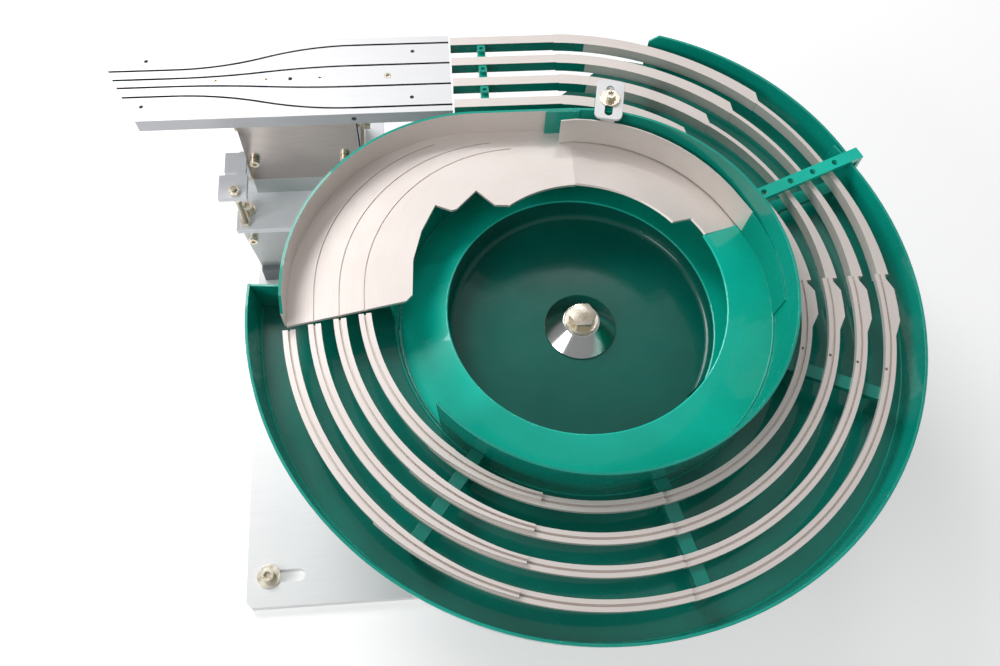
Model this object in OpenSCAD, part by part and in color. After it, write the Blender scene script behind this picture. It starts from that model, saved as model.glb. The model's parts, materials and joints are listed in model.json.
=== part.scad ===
// Vibratory bowl feeder with a four-lane outer pan and an inline track on one base plate.
// Millimetres, +Z up. The origin is on the bowl's axis at the underside of the base plate,
// and the inline track runs toward -X. Levels named *_z are measured from the pan's rim.

/* [Base plate] */
// Length of the base plate along the inline track
base_len = 550; // [546:2:556]
// Width of the base plate
base_w = 518; // [514:2:522]
// Thickness of the base plate
base_t = 12; // [10:1:14]
// Width of the mounting slots
slot_w = 12; // [10:0.5:13]

/* [Bowl] */
// Height of the pan's rim above the bench
rim_h = 258; // [250:2:270]
// Thickness of the bowl's and pan's sheet
sheet = 2.5; // [2:0.25:3]
// Outer radius of the bowl wall at its rim
bowl_r = 177.5; // [176:0.5:179]
// Inner radius of the central basin
basin_r = 125; // [123:0.5:127]
// Height that the spiral track climbs in one turn
track_rise = 50; // [46:1:52]

/* [Pan] */
// Outer radius of the pan
pan_r = 300; // [298:0.5:302]
// Depth of the pan below its rim
pan_depth = 38; // [36:0.5:40]

/* [Lanes] */
// Distance between neighbouring lanes where they leave the bowl
lane_pitch = 26.4; // [26:0.1:26.8]
// Width of the flat lane strips
lane_w = 11; // [10:0.5:12]
// Width of the groove that guides the workpieces
groove_w = 2; // [1.5:0.25:3]

/* [Inline track] */
// Length of the inline track's front edge
rail_len = 305; // [300:1:312]
// Width of the inline track
rail_w = 96; // [94:1:100]
// Thickness of the inline track
rail_t = 15; // [14:0.5:18]

/* [Hidden] */
$fn = 96;
lane_count = 4;
eps = 0.05;
fit = 0.3;
far = 600;

// Base plate
base_mid = [-65, 51];
corner_r = 8;
slot_len = 30;
slot_inset = [22.3, 30.5];
m8_r = 4;
m8_head_r = 6.5;
m8_head_h = 8;
m6_r = 3;
m6_head_r = 5;
m6_head_h = 6;
wide_washer_r = 12;
washer_t = 2;

// Bowl levels from the pan's rim
wall_top_z = 35;
skirt_z = -78;
floor_z = -68;
floor_t = 3;
wall_lean = 0.07;
track_start = -40;
track_end = 386;
track_z = -56;
track_zero = -9;
track_drop = 16;
track_t = 2.5;
step_deg = 5;
seam_deg = 0.3;
cove_r = 6;

// Sorting plate and its wall
plate_z = 6;
plate_t = 3;
plate_start = 90;
ramp_start = track_end - 360;
side_x = -90;
side_y = 2;
wall_y = bowl_r - sheet;
side_r = wall_y - side_y;
plate_left_x = side_x - side_r;
inner_r = 111.5;
baffle_t = 1.2;
baffle_h = 30;

// Clamp on the rim
clamp_a = 78.7;
clamp_z = 36;
clamp_w = 26;
clamp_in_r = 164;
clamp_len = 46;
clamp_screw_r = 187;

// Pan and lanes
pan_start = 175;
pan_join = 30;
exit_a = [26, 44, 71.6];
exit_r = [pan_r + 3, pan_r + 11, pan_r + 14];
pan_h = pan_depth + sheet;
pan_flare = 5;
strip_t = 5;
strip_w = lane_w - 1.5;
tip_w = lane_w/2;
tab_w = 5;
entry_z = 5;
middle_z = 0;
outer_z = -3;
rail_z = -5;
rail_h = 12;
blade_w = 4;
flange_w = 11.5;
exit_w = 10;
flange_t = 3;
exit_y = 220.5;
exit_gap = 1.8;

// Inline track frame: u runs along the track, v across it
rail_front = [-108.6, 212.9];
rail_top_z = -6.5;
skew_mid = [335, 59];
skew_end = [350, rail_w];
groove_depth = 6;

// Linear drive
cover_u = [97, 214];
cover_v = [4.5, 91.5];
cover_z = [-115, -22];
cover_t = 2;
block_z = [-140, -115];
cheek_w = 20;
cheek_top = -62;
mass_z = [-52, rail_top_z - rail_t];
spring_v = [20, 76];
deck_z = [-148, -140];
deck_u = [75, 235];
deck_v = [-42, 97];
foot_z = -222;
foot_u = [88, 223];
foot_v = [-46, 50];
column_v = [-40, 44];
column_top_u = [82, 230];

// Bowl drive below the bowl
casting_r = 124;
casting_t = 22;
frame_z = [-86, -71];
frame_r = 120;
seat_r = 86;
leaf_w = 40;
leaf_t = 2.5;
leaf_gap = 2;
spring_tilt = 20;
spring_turns = [30, 150, 270];
pack_t = 2*leaf_t + leaf_gap;
spring_low = base_t + casting_t + 4;
spring_len = (rim_h + frame_z[0] - 1 - spring_low)/cos(spring_tilt);
boss_z = base_t + casting_t + 18;
core_gap = 2.5;
core_h = 68;
armature_t = 12;
bolt_r = 6;

// Colours
teal = [0.10, 0.62, 0.54];
stainless = [0.80, 0.76, 0.72];
zinc = [0.80, 0.72, 0.52];
silver = [0.82, 0.84, 0.86];
iron = [0.35, 0.37, 0.39];
dark = [0.18, 0.19, 0.20];
copper = [0.62, 0.32, 0.18];
chrome = [0.85, 0.86, 0.88];

// ---------- shared shapes ----------

function polar(r, a) = [r*cos(a), r*sin(a)];
function mix(a, b, t) = a + (b - a)*t;
function clamp01(t) = min(1, max(0, t));

// Centre of the arc through p and q that lies nearest the bowl's axis
function arc_centre(p, q) = let (d = q - p) d*((q*q - p*p)/(2*(d*d)));
function angle_of(v) = atan2(v[1], v[0]);

// Solid through a list of equal rings of points, each ring counter-clockwise in (r, z)
module loft(rings) {
  m = len(rings[0]);
  n = len(rings);
  polyhedron(
    points = [for (ring = rings, p = ring) p],
    faces = concat(
      [[for (j = [0 : m - 1]) m - 1 - j]],
      [[for (j = [0 : m - 1]) (n - 1)*m + j]],
      [for (i = [0 : n - 2], j = [0 : m - 1], half = [0, 1])
        let (a = i*m + j, b = i*m + (j + 1)%m)
          half == 0 ? [a, b, b + m] : [a, b + m, a + m]]));
}

// Section points (r, z) placed in the upright plane at the given angle
function ring_at(a, section) = [for (s = section) [s[0]*cos(a), s[0]*sin(a), s[1]]];

// Strip of a profile (r from the strip's middle line, z) along the arc from p to q,
// carried on by over degrees past both ends
module arc_strip(p, q, over = 0) {
  c = arc_centre(p, q);
  start = angle_of(p - c);
  sweep = (angle_of(q - c) - start + 360) % 360;
  r = norm(p - c);
  translate([c[0], c[1], 0])
    rotate([0, 0, start - over])
      rotate_extrude(angle = sweep + 2*over)
        translate([r, 0])
          children();
}

module box(x, y, z) {
  translate([x[0], y[0], z[0]])
    cube([x[1] - x[0], y[1] - y[0], z[1] - z[0]]);
}

module hexagon(af) {
  polygon([for (k = [0 : 5]) polar(af/(2*cos(30)), 60*k)]);
}

module sector(a0, a1, r = far) {
  polygon(concat([[0, 0]], [for (k = [0 : 6]) polar(r, mix(a0, a1, k/6))]));
}

module raised(z) {
  translate([0, 0, rim_h + z])
    children();
}

// Socket-head screw, its seat at z = 0 and its shank pointing down
module cap_screw(r, head_r, head_h, len) {
  difference() {
    union() {
      cylinder(r = head_r, h = head_h);
      translate([0, 0, -len])
        cylinder(r = r, h = len + eps);
    }
    translate([0, 0, head_h/2])
      linear_extrude(head_h)
        hexagon(r*1.6);
  }
}

module washer(r, hole, t) {
  difference() {
    cylinder(r = r, h = t);
    translate([0, 0, -t])
      cylinder(r = hole, h = 3*t);
  }
}

// Places children in the inline track's frame, x = u along the track, y = v, z from the rim
module track_frame() {
  translate([rail_front[0], rail_front[1], rim_h])
    mirror([1, 0, 0])
      children();
}

// Solid cone that fills the bowl up to the outside of its wall
module bowl_cone(inset = 0) {
  raised(skirt_z)
    cylinder(r1 = wall_r(skirt_z) - inset, r2 = wall_r(wall_top_z) - inset,
             h = wall_top_z - skirt_z);
}

function wall_r(z) = bowl_r - wall_lean*(wall_top_z - z);
function wall_in(z) = wall_r(z) - sheet;

// ---------- base plate ----------

base_x = [base_mid[0] - base_len/2, base_mid[0] + base_len/2];
base_y = [base_mid[1] - base_w/2, base_mid[1] + base_w/2];

module at_slots() {
  for (sx = [-1, 1], sy = [-1, 1])
    translate([base_mid[0] + sx*(base_len/2 - slot_inset[0]),
               base_mid[1] + sy*(base_w/2 - slot_inset[1]), 0])
      scale([sx, 1, 1])
        children();
}

module base_plate() {
  color(silver)
    difference() {
      linear_extrude(base_t)
        translate([base_x[0], base_y[0]])
          difference() {
            square([base_len, base_w]);
            for (cx = [0, base_len], cy = [0, base_w])
              translate([cx, cy])
                rotate(45)
                  square(corner_r, center = true);
          }
      at_slots() {
        translate([0, 0, -base_t])
          cylinder(d = slot_w, h = 3*base_t);
        translate([-slot_len, 0, -base_t])
          cylinder(d = slot_w, h = 3*base_t);
        translate([-slot_len, -slot_w/2, -base_t])
          cube([slot_len, slot_w, 3*base_t]);
      }
      at_casting_screws()
        translate([0, 0, 2])
          cylinder(r = m8_r + eps, h = base_t);
    }
}

module base_screws() {
  color(zinc)
    at_slots()
      translate([0, 0, base_t + washer_t])
        cap_screw(m8_r, m8_head_r, m8_head_h, base_t + washer_t - 1);
}

module base_washers() {
  color(chrome)
    at_slots()
      translate([0, 0, base_t])
        washer(wide_washer_r, m8_r + 0.4, washer_t);
}

// ---------- bowl drive ----------

module at_casting_screws() {
  for (a = spring_turns)
    rotate([0, 0, a + 60])
      translate([casting_r - 18, 0, 0])
        children();
}

// Frame of one spring pack: x across the leaves, y through them, z along them
module at_springs() {
  lean = (rim_h + frame_z[0] - spring_low)*tan(spring_tilt);
  for (a = spring_turns)
    rotate([0, 0, a])
      translate([seat_r, -lean/2 - pack_t/2, spring_low])
        rotate([-spring_tilt, 0, 0])
          children();
}

seat_h = 34;
seat_t = 26;
bolt_x = 11;
bolt_z = 16;
clip_t = 4;

module drive_base() {
  color(iron)
    difference() {
      union() {
        translate([0, 0, base_t])
          cylinder(r = casting_r, h = casting_t);
        translate([0, 0, base_t])
          cylinder(r = 46, h = boss_z - base_t);
        intersection() {
          at_springs()
            box([-leaf_w/2 - 3, leaf_w/2 + 3], [-seat_t, 0], [-seat_h, seat_h]);
          translate([0, 0, base_t])
            cylinder(r = far, h = far);
        }
      }
      at_springs()
        spring_bolt_holes(bolt_z, -seat_t + 4, 1);
      at_casting_screws()
        translate([0, 0, base_t - 1])
          cylinder(r = m8_r + eps, h = casting_t + 2);
    }
}

// Two bores through a seat, from y0 to y1 in the spring's frame
module spring_bolt_holes(z, y0, y1, r = m8_r + eps) {
  for (sx = [-1, 1])
    translate([sx*bolt_x, y1, z])
      rotate([90, 0, 0])
        cylinder(r = r, h = y1 - y0);
}

module drive_base_screws() {
  color(zinc)
    at_casting_screws()
      translate([0, 0, base_t + casting_t])
        cap_screw(m8_r, m8_head_r, m8_head_h, casting_t + base_t - 3);
}

core_w = 70;
core_d = 40;
limb_w = 14;
yoke_h = 18;
window_w = 11;

module magnet_core() {
  color(dark)
    difference() {
      box([-core_w/2, core_w/2], [-core_d/2, core_d/2], [boss_z, boss_z + core_h]);
      for (sx = [-1, 1])
        translate([sx*(core_w/2 - limb_w - window_w/2), 0, boss_z + yoke_h + core_h/2])
          cube([window_w, core_d + 2, core_h], center = true);
    }
}

module magnet_coil() {
  inner = core_w/2 - limb_w - window_w + eps;
  outer = core_w/2 - limb_w - 1;
  z = [boss_z + yoke_h + eps, boss_z + core_h - 4];
  color(copper)
    difference() {
      box([-outer, outer], [-core_d/2 - 9, core_d/2 + 9], z);
      box([-inner, inner], [-core_d/2 - eps, core_d/2 + eps], [z[0] - 1, z[1] + 1]);
    }
}

module leaf_springs() {
  color(stainless)
    at_springs()
      difference() {
        union() {
          for (k = [0, 1])
            box([-leaf_w/2, leaf_w/2], [k*(leaf_t + leaf_gap), k*(leaf_t + leaf_gap) + leaf_t],
                [0, spring_len]);
          for (z = [[0, 30], [spring_len - 30, spring_len]])
            box([-leaf_w/2, leaf_w/2], [leaf_t, leaf_t + leaf_gap], z);
        }
        for (z = [bolt_z, spring_len - bolt_z])
          spring_bolt_holes(z, -1, pack_t + 1, m8_r + 0.2);
      }
}

// Pair of screws through a clip plate, heads toward +y, the clip lying on y = 0
module spring_screws(len) {
  difference() {
    box([-leaf_w/2, leaf_w/2], [0, clip_t], [-12, 12]);
    spring_bolt_holes(0, -1, clip_t + 1, m8_r + 0.2);
  }
  for (sx = [-1, 1])
    translate([sx*bolt_x, clip_t, 0])
      rotate([-90, 0, 0])
        cap_screw(m8_r, m8_head_r, m8_head_h, len + clip_t);
}

module lower_spring_screws() {
  color(zinc)
    at_springs()
      translate([0, pack_t, bolt_z])
        spring_screws(pack_t + seat_t - 6);
}

module upper_spring_screws() {
  color(zinc)
    at_springs()
      translate([0, 0, spring_len - bolt_z])
        rotate([0, 0, 180])
          spring_screws(pack_t + seat_t - 6);
}

module top_frame() {
  z0 = rim_h + frame_z[0];
  z1 = rim_h + frame_z[1];
  boss_low = boss_z + core_h + core_gap + armature_t;
  color(iron)
    difference() {
      union() {
        translate([0, 0, z0])
          cylinder(r = frame_r, h = z1 - z0);
        translate([0, 0, boss_low])
          cylinder(r = 34, h = z0 - boss_low + 1);
        intersection() {
          at_springs()
            box([-leaf_w/2 - 3, leaf_w/2 + 3], [pack_t, pack_t + seat_t],
                [spring_len - seat_h, spring_len + seat_h]);
          translate([0, 0, z1 - far])
            cylinder(r = far, h = far);
        }
      }
      at_springs()
        spring_bolt_holes(spring_len - bolt_z, pack_t - 1, pack_t + seat_t - 4);
      raised(frame_z[0] - 4)
        cylinder(r = bolt_r + eps, h = 30);
    }
}

module armature() {
  z0 = boss_z + core_h + core_gap;
  color(dark)
    box([-core_w/2, core_w/2], [-core_d/2, core_d/2], [z0, z0 + armature_t]);
}

// ---------- bowl ----------

// Climbing edge of the spiral track at angle a, which counts on past a full turn
function track_in_z(a) = track_z + track_rise*(a - track_zero)/360;
function drop_at(a) = 4 + (track_drop - 4)*clamp01((a - track_start)/190);
function track_out_z(a) = track_in_z(a) - drop_at(a);
function track_out_r(a) = wall_in(track_out_z(a)) - fit;
function track_slope(a) = drop_at(a)/(track_out_r(a) - basin_r);

module basin_floor() {
  low = floor_z - floor_t;
  color(teal)
    translate([0, 0, rim_h])
      rotate_extrude()
        polygon([[bolt_r + eps, low], [wall_in(low), low], [wall_in(floor_z), floor_z],
                 [bolt_r + eps, floor_z]]);
}

// Section of the basin's wall under a level, with a cove at its foot
function basin_section(top, fall) =
  let (cove = min(cove_r, top - floor_z - sheet/4))
    concat([[basin_r - cove, floor_z], [basin_r + sheet, floor_z],
            [basin_r + sheet, top - fall], [basin_r, top]],
           [for (t = [0 : 22.5 : 67.5])
             [basin_r - cove + cove*cos(t), floor_z + cove - cove*sin(t)]]);

module basin_wall() {
  color(teal)
    translate([0, 0, rim_h])
      loft([for (k = [0 : 360/step_deg])
        let (a = track_start + min(k*step_deg, 360 - seam_deg))
          ring_at(a, basin_section(track_in_z(a) - track_t, track_slope(a)*sheet))]);
}

module spiral_track() {
  color(teal)
    translate([0, 0, rim_h])
      loft([for (a = [track_start : step_deg : track_end + step_deg - 1])
        let (b = min(a, track_end), zi = track_in_z(b), zo = track_out_z(b),
             ro = track_out_r(b), bead = track_t/2)
          ring_at(b, [[basin_r + bead, zi - track_t], [ro, zo - track_t], [ro, zo],
                      [basin_r + bead, zi], [basin_r, zi - bead/2],
                      [basin_r, zi - track_t + bead/2]])]);
}

bare_z = -46;
bare_start = 181;
wall_start = 218;

// Wedge between two angles that takes away everything above a level
module cut_above(a0, a1, z) {
  translate([0, 0, z])
    linear_extrude(far)
      sector(a0, a1);
}

module bowl_wall() {
  color(teal)
    raised(0)
      difference() {
        rotate_extrude()
          polygon([[wall_in(skirt_z), skirt_z], [wall_r(skirt_z), skirt_z],
                   [wall_r(wall_top_z), wall_top_z], [wall_in(wall_top_z), wall_top_z]]);
        cut_above(plate_start, wall_start, plate_z - plate_t);
        cut_above(bare_start, wall_start, bare_z);
      }
}

// Ramp from the end of the spiral up to the sorting plate
function ramp_t(a) = clamp01((a - ramp_start)/(plate_start - ramp_start));
function ramp_out_z(a) = mix(track_out_z(track_end) - 1.4, plate_z, ramp_t(a));
function ramp_out_r(a) = wall_in(ramp_out_z(a)) - fit;
function ramp_slope(a) = 0.4*pow(1 - ramp_t(a), 1.3);
function ramp_z(a, r) = ramp_out_z(a) + (ramp_out_r(a) - r)*ramp_slope(a);
function ramp_in_r(a) = mix(basin_r + 2, mix(106, inner_r, ramp_t(a)), clamp01((a - 35)/3));

module plate_ramp() {
  stops = concat([ramp_start, 30, 35], [for (a = [38 : 4 : 86]) a], [plate_start]);
  color(stainless)
    translate([0, 0, rim_h])
      loft([for (a = stops)
        let (ri = ramp_in_r(a), ro = ramp_out_r(a), zi = ramp_z(a, ri), zo = ramp_out_z(a),
             t = plate_t)
          ring_at(a, [[ri + t/2, zi - t], [ro, zo - t], [ro, zo], [ri + t/2, zi],
                      [ri, zi - t/2]])]);
}

// Plan of everything inside the side wall, whose straight stretches lie a hair inside its bend
module plate_outline() {
  translate([side_x, side_y])
    circle(side_r);
  translate([side_x, -far/10])
    square([-side_x, far/10 + wall_y - eps]);
  translate([plate_left_x + eps, -far/10])
    square([side_x - plate_left_x, far/10 + side_y]);
}

// The stepped inner edge, where workpieces that lie wrong fall back into the bowl
module return_gap() {
  polygon([polar(90, 125), polar(112.4, 125), polar(120.5, 129.5), polar(143.6, 130.2),
           polar(143.7, 141), polar(146.7, 142.6), polar(162.2, 143.9), polar(160.1, 154.6),
           polar(158.1, 165.7), polar(155.2, 178.6), polar(161, 180.7), polar(90, 190)]);
}

// Grooves that spread the workpieces over the lanes, the innermost first
function plate_groove_x(i) = -196.6 - 21.7*i;
function plate_groove_r(i) = 145 + 8*i;
plate_groove_start = [92, 94, 108];

module plate_grooves() {
  w = groove_w/2;
  for (i = [0 : 2])
    translate([plate_groove_x(i) + plate_groove_r(i), 10, plate_z - 1.2]) {
      rotate([0, 0, plate_groove_start[i]])
        rotate_extrude(angle = 180 - plate_groove_start[i])
          translate([plate_groove_r(i) - w/2, 0])
            square([w, plate_t]);
      translate([-plate_groove_r(i) - w/2 - eps, -60, 0])
        cube([w + 2*eps, 60.2, plate_t]);
    }
}

module sorting_plate() {
  color(stainless)
    translate([0, 0, rim_h])
      difference() {
        translate([0, 0, plate_z - plate_t])
          linear_extrude(plate_t)
            difference() {
              intersection() {
                plate_outline();
                polygon([[0, 0], [0, far], [-far, far], polar(far, 187), polar(261, 184.5),
                         polar(161, 180.7)]);
              }
              circle(inner_r);
              return_gap();
            }
        plate_grooves();
      }
}

wall_foot_z = 0;
wall_end_y = -17.8;

module plate_wall() {
  cut = 16;
  thin = sheet - 2*eps;
  h = wall_top_z - wall_foot_z;
  color(stainless)
    translate([0, 0, rim_h + wall_foot_z])
      difference() {
        union() {
          translate([side_x, side_y, 0])
            rotate([0, 0, 90])
              rotate_extrude(angle = 90)
                translate([side_r, 0])
                  square([sheet, h]);
          box([side_x - 0.5, 0], [wall_y + eps, wall_y + eps + thin], [0, h]);
          box([plate_left_x - eps - thin, plate_left_x - eps], [wall_end_y, side_y + 0.5], [0, h]);
        }
        translate([plate_left_x, wall_end_y, h])
          rotate([45, 0, 0])
            cube([4*sheet, cut, cut], center = true);
      }
}

// Lap inside the joint of the bowl wall and the plate's wall, leaning with the bowl wall
module wall_lap() {
  lap_t = 1.5;
  lap_x = [-24, 8];
  low = wall_in(plate_z) - fit;
  high = wall_in(wall_top_z) - fit;
  color(teal)
    raised(0)
      translate([lap_x[0], 0, 0])
        rotate([90, 0, 90])
          linear_extrude(lap_x[1] - lap_x[0])
            polygon([[low - lap_t, plate_z], [low, plate_z], [high, wall_top_z],
                     [high - lap_t, wall_top_z]]);
}

// Springy strip that narrows the track toward its free end
baffle_start = -7;
baffle_end = 94;
function baffle_off(a) = eps + 12.4*pow(clamp01((a - 10)/(baffle_end - 10)), 1.2);
function baffle_foot(a) = a < ramp_start
  ? track_out_z(a + 360) + baffle_off(a)*track_slope(a + 360) + 1.2
  : ramp_z(a, ramp_out_r(a) - baffle_off(a) - baffle_t) + 1;

module baffle() {
  stops = [for (k = [0 : 20]) mix(baffle_start, baffle_end, k/20)];
  color(stainless)
    translate([0, 0, rim_h])
      loft([for (a = stops)
        let (z0 = baffle_foot(a), z1 = z0 + baffle_h, off = baffle_off(a))
          ring_at(a, [[wall_in(z0) - off - baffle_t, z0], [wall_in(z0) - off, z0],
                      [wall_in(z1) - off, z1], [wall_in(z1) - off - baffle_t, z1]])]);
}

cone_r = 33.8;
cone_h = 14;
cone_top_r = 17;
cone_washer_t = 3;
hex_h = 10;

module centre_cone() {
  color(chrome)
    raised(floor_z)
      rotate_extrude()
        polygon([[bolt_r + eps, 0], [cone_r, 0], [cone_r, 1.5], [cone_top_r, cone_h],
                 [bolt_r + eps, cone_h]]);
}

module centre_washer() {
  color(zinc)
    raised(floor_z + cone_h)
      washer(15.5, bolt_r + eps, cone_washer_t);
}

module centre_bolt() {
  color(zinc)
    raised(floor_z + cone_h + cone_washer_t) {
      intersection() {
        linear_extrude(hex_h)
          hexagon(22);
        cylinder(r1 = 30, r2 = 12.1, h = hex_h);
      }
      translate([0, 0, -cone_h - cone_washer_t - floor_t - 13])
        cylinder(r = bolt_r, h = cone_h + cone_washer_t + floor_t + 14);
    }
}

// ---------- pan ----------

cut_slope = (304 - 249)/73.5;
cut_y = 249;
function cut_line(x) = [x, cut_y + cut_slope*x];

cut_x = [-95, 200];

// Plan of the open corner that the pan leaves free for the linear drive
module open_corner() {
  polygon([[0, 0], cut_line(cut_x[0]), cut_line(cut_x[1]), [cut_x[1], far], [-far, far],
           polar(far, pan_start)]);
}

function exit_point(k) = polar(exit_r[k], exit_a[k]);

// Centre of the circle through three points
function circle_centre(a, b, c) =
  let (p = b - a, q = c - a, w = 2*cross(p, q))
    a + [q[1]*(p*p) - p[1]*(q*q), p[0]*(q*q) - q[0]*(p*p)]/w;

exit_c = circle_centre(exit_point(0), exit_point(1), exit_point(2));
exit_arc_r = norm(exit_point(0) - exit_c);

module pan_plan() {
  circle(pan_r - sheet - pan_flare);
  intersection() {
    translate(exit_c)
      circle(exit_arc_r - sheet - pan_flare);
    sector(pan_join, 80);
  }
}

module pan_floor() {
  color(teal)
    difference() {
      raised(-pan_h)
        linear_extrude(sheet)
          difference() {
            pan_plan();
            open_corner();
          }
      bowl_cone();
    }
}

// The wall's foot is drawn in by pan_flare
module pan_wall() {
  foot = pan_r - pan_flare;
  color(teal)
    raised(-pan_h)
      rotate([0, 0, pan_start])
        rotate_extrude(angle = 360 + pan_join - pan_start)
          polygon([[foot - sheet, 0], [foot, 0], [pan_r, pan_h], [pan_r - sheet, pan_h]]);
}

module pan_wall_exit() {
  reach = 2*exit_arc_r;
  first = exit_point(0) - exit_c;
  last = exit_point(2) - exit_c;
  slope = pan_flare/pan_h;
  corner = 9;
  cutter = 3*corner*sqrt(2);
  color(teal)
    raised(-pan_h)
      translate([exit_c[0], exit_c[1], 0])
        difference() {
          cylinder(h = pan_h, r1 = exit_arc_r - pan_flare, r2 = exit_arc_r);
          translate([0, 0, -1])
            cylinder(h = pan_h + 2, r1 = exit_arc_r - pan_flare - sheet - slope,
                     r2 = exit_arc_r - sheet + slope);
          rotate([0, 0, angle_of(first)])
            translate([-reach, -2*reach, -1])
              cube([2*reach, 2*reach, pan_h + 2]);
          rotate([0, 0, angle_of(last)])
            translate([-reach, 0, -1])
              cube([2*reach, 2*reach, pan_h + 2]);
          rotate([0, 0, angle_of(last)])
            translate([exit_arc_r, corner, pan_h + corner])
              rotate([45, 0, 0])
                cube([4*corner, cutter, cutter], center = true);
        }
}

// Inner face of the pan's wall at height h over its foot
function pan_in(h) = pan_r - sheet - pan_flare + pan_flare*h/pan_h;

module pan_end_panel() {
  foot = sheet + fit;
  inner = bowl_r - 12;
  color(teal)
    difference() {
      raised(-pan_h)
        rotate([0, 0, pan_start])
          rotate([90, 0, 0])
            translate([0, 0, -sheet])
              linear_extrude(sheet)
                polygon([[inner, foot], [pan_in(foot) - fit, foot], [pan_in(pan_h) - fit, pan_h],
                         [inner, pan_h]]);
      bowl_cone();
    }
}

bar_w = 12;
bar_turn = 22;
bar_at = [147, 83.3];
bar_len = 142.5;
bar_holes = [32, 62, 87.5, 113];

// Flat bar from the bowl's wall over the lanes and the pan's rim, its end folded down
module cross_bar() {
  bar_t = 5;
  fold_t = 4;
  fold_z = -14;
  color(teal)
    difference() {
      raised(0)
        translate([bar_at[0], bar_at[1], 0])
          rotate([0, 0, bar_turn])
            difference() {
              union() {
                box([0, bar_len], [-bar_w/2, bar_w/2], [0, bar_t]);
                box([bar_len - fold_t, bar_len], [-bar_w/2, bar_w/2], [fold_z, bar_t]);
              }
              for (x = bar_holes)
                translate([x, 0, -1])
                  cylinder(r = m6_r, h = bar_t + 2);
            }
      bowl_cone();
    }
}

// Bar across the pan with feet on its floor, its top face at level top
module support_bar(a, r0, r1, top, w, h, feet) {
  rotate([0, 0, a])
    raised(0) {
      box([r0, r1], [-w/2, w/2], [top - h, top]);
      for (r = feet)
        box([r - w/2, r + w/2], [-w/2, w/2], [-pan_depth, top - h + eps]);
    }
}

lower_bar_at = [182.5, 89.5];
lower_bar_turn = 19;

module lower_bar() {
  color(teal)
    translate([lower_bar_at[0], lower_bar_at[1], 0])
      support_bar(lower_bar_turn, 0, 82, rail_z - rail_h, bar_w, 5, [10, 72]);
}

// Turn, outer radius and top level of each bar that carries the lanes
carriers = [[232.4, pan_r - 32, middle_z - strip_t],
            [283.5, pan_r - 26, outer_z - strip_t],
            [336.2, pan_r - 26, outer_z - strip_t]];

module floor_supports() {
  h = 6;
  foot_r = bowl_r + 10;
  exit_foot_r = [foot_r + 14, exit_r[2] - 22];
  color(teal)
    difference() {
      union() {
        for (c = carriers)
          support_bar(c[0], bowl_r - 8, c[1], c[2], bar_w, h, [foot_r, c[1] - bar_w/2]);
        support_bar(70, exit_foot_r[0] - bar_w/2, exit_foot_r[1] + bar_w/2, rail_z - rail_h,
                    bar_w, h, exit_foot_r);
      }
      bowl_cone();
    }
}

// ---------- clamp ----------

module clamp_lug() {
  color(teal)
    difference() {
      rotate([0, 0, clamp_a])
        raised(0)
          difference() {
            box([bowl_r - 8, bowl_r + 19.5], [-clamp_w/2, clamp_w/2], [20, clamp_z]);
            translate([clamp_screw_r, 0, clamp_z - 13])
              cylinder(r = m6_r + eps, h = 20);
          }
      bowl_cone();
      raised(wall_top_z)
        cylinder(r = bowl_r, h = 10);
    }
}

module clamp_plate() {
  slot = [171.7, 199.3];
  color(silver)
    rotate([0, 0, clamp_a])
      raised(clamp_z)
        difference() {
          union() {
            box([clamp_in_r, clamp_in_r + clamp_len], [-clamp_w/2, clamp_w/2], [0, sheet]);
            box([165.1, 167.6], [-clamp_w/4, clamp_w/4], [-10, sheet]);
          }
          for (r = slot)
            translate([r, 0, -sheet])
              cylinder(r = m6_r + 0.7, h = 3*sheet);
          box(slot, [-m6_r - 0.7, m6_r + 0.7], [-sheet, 2*sheet]);
        }
}

module clamp_washer() {
  color(zinc)
    rotate([0, 0, clamp_a])
      raised(clamp_z + sheet)
        translate([clamp_screw_r, 0, 0])
          washer(9.5, m6_r + eps, washer_t);
}

module clamp_screw() {
  color(zinc)
    rotate([0, 0, clamp_a])
      raised(clamp_z + sheet + washer_t)
        translate([clamp_screw_r, 0, 0])
          cap_screw(m6_r, m6_head_r, m6_head_h, sheet + washer_t + 11);
}

// ---------- lanes ----------

// Flat strip with a guide groove along its middle, its top at level top
module strip_section(w, top) {
  difference() {
    translate([-w/2, rim_h + top - strip_t])
      square([w, strip_t]);
    translate([-groove_w/2, rim_h + top - 3])
      square([groove_w, strip_t]);
  }
}

// Middle line of lane i where its strips start, join and end
function entry_start(i) = polar(197 + 21.7*i, 183.4 + 0.6*i);
function entry_neck(i) = polar(193 + 24.9*i, 228);
function entry_end(i) = polar(191.2 + 26.2*i, 252);
function middle_start(i) = polar(194 + 24.9*i, 222 + i);
function outer_start(i) = polar(192 + 26*i, 282 - 0.4*i);
outer_end_r = [195.5, 219.5, 243.5, 268.7];
outer_end_a = 361.5;

module lane_groove(p, q, w, top) {
  arc_strip(p, q, 0.4)
    translate([-w/2, rim_h + top - 3])
      square([w, strip_t]);
}

// Strip that narrows to a tongue lying on the next strip
module lane_entry() {
  color(stainless)
    for (i = [0 : lane_count - 1])
      difference() {
        union() {
          arc_strip(entry_start(i), entry_neck(i))
            translate([-lane_w/2, rim_h + entry_z - strip_t])
              square([lane_w, strip_t]);
          translate([0, 0, rim_h + entry_z - strip_t])
            linear_extrude(strip_t)
              tapered_plan(entry_neck(i), entry_end(i), 227.6, 252, lane_w - 0.6, tip_w);
        }
        lane_groove(entry_start(i), entry_neck(i), groove_w, entry_z);
        lane_groove(entry_neck(i), entry_end(i), groove_w + 2*eps, entry_z);
      }
}

module lane_middle() {
  color(stainless)
    for (i = [0 : lane_count - 1])
      arc_strip(middle_start(i), outer_start(i))
        strip_section(strip_w, middle_z);
}

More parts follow.
